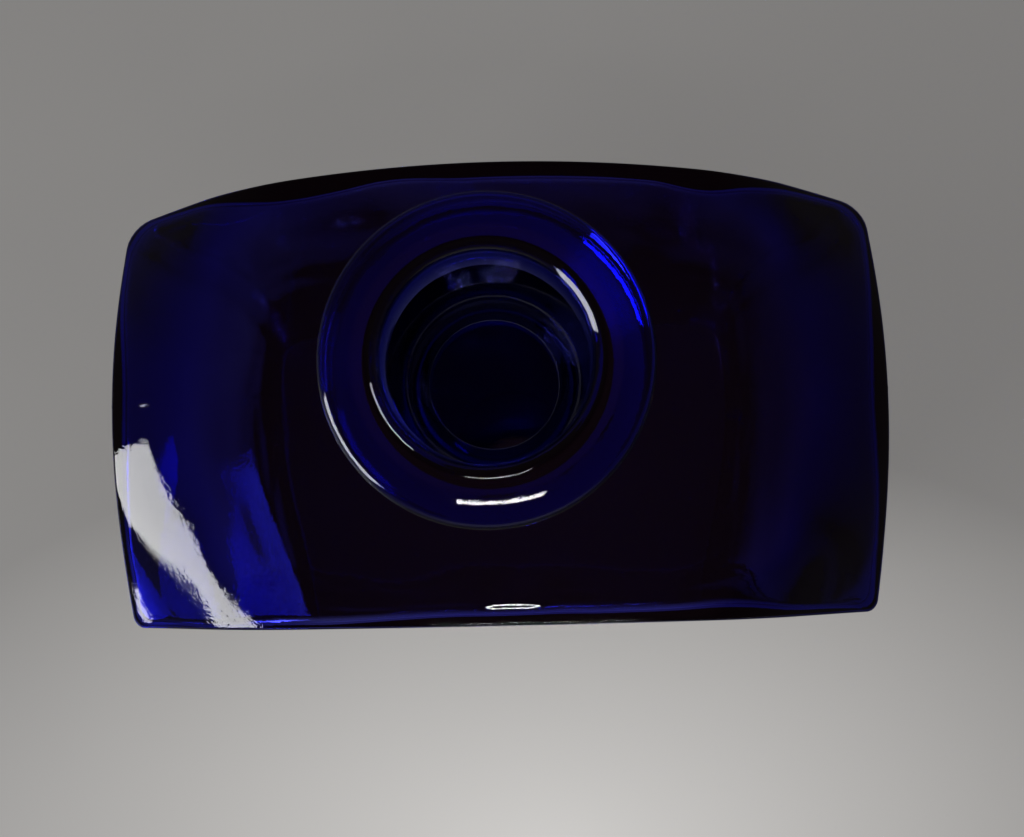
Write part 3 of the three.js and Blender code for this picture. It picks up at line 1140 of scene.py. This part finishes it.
# %% [markdown]
# ## The room
# The room is dim and warm. Its ceiling has a faint purple cast, which the skin of the shoulder mirrors,
# and it is darkest just below the ceiling. Low down in front there is a soft pale glow for the steep
# edges of the glass to mirror. You could build walls and a ceiling. A world that is coloured by
# direction does the same with a few nodes, and it stays where it is in every view.

# %% Room
ROOM_COLOURS = ((0.0, (0.06, 0.05, 0.055)), (0.9, (0.04, 0.015, 0.03)), (0.98, (0.07, 0.03, 0.055)))
FRONT_GLOW = 0.2
GLOW_AHEAD = (-0.65, -0.95)
GLOW_LOW = (0.45, 0.2)


def paint_room(tree):
    """Colours the world by height, and adds the glow in front."""
    place = tree.nodes.new("ShaderNodeTexCoord")
    split = tree.nodes.new("ShaderNodeSeparateXYZ")
    ramp = tree.nodes.new("ShaderNodeValToRGB")
    tree.links.new(place.outputs["Generated"], split.inputs["Vector"])
    tree.links.new(split.outputs["Z"], ramp.inputs["Fac"])
    ramp.color_ramp.elements.new(0.5)
    for stop, (height, colour) in zip(ramp.color_ramp.elements, ROOM_COLOURS):
        stop.position = height
        stop.color = (*colour, 1)
    ahead = spread(tree, split.outputs["Y"], *GLOW_AHEAD, 0.0, FRONT_GLOW)
    low = spread(tree, split.outputs["Z"], *GLOW_LOW)
    room = tree.nodes.new("ShaderNodeMix")
    room.data_type = "RGBA"
    room.blend_type = "ADD"
    room.inputs["Factor"].default_value = 1
    tree.links.new(ramp.outputs["Color"], room.inputs["A"])
    tree.links.new(calc(tree, "MULTIPLY", ahead, low), room.inputs["B"])
    tree.links.new(room.outputs["Result"], tree.nodes["Background"].inputs["Color"])


world = bpy.data.worlds.new("room")
bpy.context.scene.world = world
world.use_nodes = True
paint_room(world.node_tree)
print("room painted with", len(ROOM_COLOURS), "colours and a glow in front")

# %% [markdown]
# ## The lamps
# A window on the left and a narrow lamp in front make the highlights: the window is the white band on
# the corner and the blue in the glass, and the lamp is the bright dashes on the lip. Each is placed by
# the direction that its reflection asks for, and its brightness is that of its face, so that a larger
# lamp isn't a brighter one.

# %% Lamps
LAMP_TARGET = Vector((0, 0, 100 * MM))
LAMP_DISTANCE = 0.9


def area_lamp(name, azimuth, elevation, width, height, radiance):
    """A soft lamp that faces the bottle, given by its direction in degrees and how bright its face is."""
    turn = math.radians(azimuth)
    lift = math.radians(elevation)
    towards = Vector((math.cos(lift) * math.cos(turn), math.cos(lift) * math.sin(turn), math.sin(lift)))
    bpy.ops.object.light_add(type="AREA", location=LAMP_TARGET + LAMP_DISTANCE * towards)
    lamp = bpy.context.object
    lamp.name = name
    lamp.data.shape = "RECTANGLE"
    lamp.data.size = width
    lamp.data.size_y = height
    lamp.data.energy = radiance * math.pi * width * height
    lamp.rotation_euler = (-towards).to_track_quat("-Z", "Y").to_euler()
    print(name, "gives", round(lamp.data.energy, 1), "W")


area_lamp("left_window", azimuth=203, elevation=24, width=0.56, height=0.5, radiance=9.5)
area_lamp("front_lamp", azimuth=272, elevation=66, width=0.29, height=0.03, radiance=28)

# %% [markdown]
# ## The camera
# The photo looks almost straight down, from about 114 mm above the lip and a little in front of it. The
# place comes from fitting a 50 mm lens to the circles of the lip and to the body's outline.

# %% Camera
CAMERA_PLACE = (3.948 * MM, -14.065 * MM, 242.476 * MM)
CAMERA_TURN = [math.radians(angle) for angle in (4.468, 1.073, -1.347)]

bpy.ops.object.camera_add(location=CAMERA_PLACE, rotation=CAMERA_TURN)
camera = bpy.context.object
camera.name = "camera"
camera.data.lens = 50
camera.data.sensor_width = 36
camera.data.clip_start = 10 * MM
bpy.context.scene.camera = camera
bpy.context.scene.view_settings.view_transform = "Standard"
print("camera", round((camera.location.z - LIP_TOP) / MM), "mm above the lip")
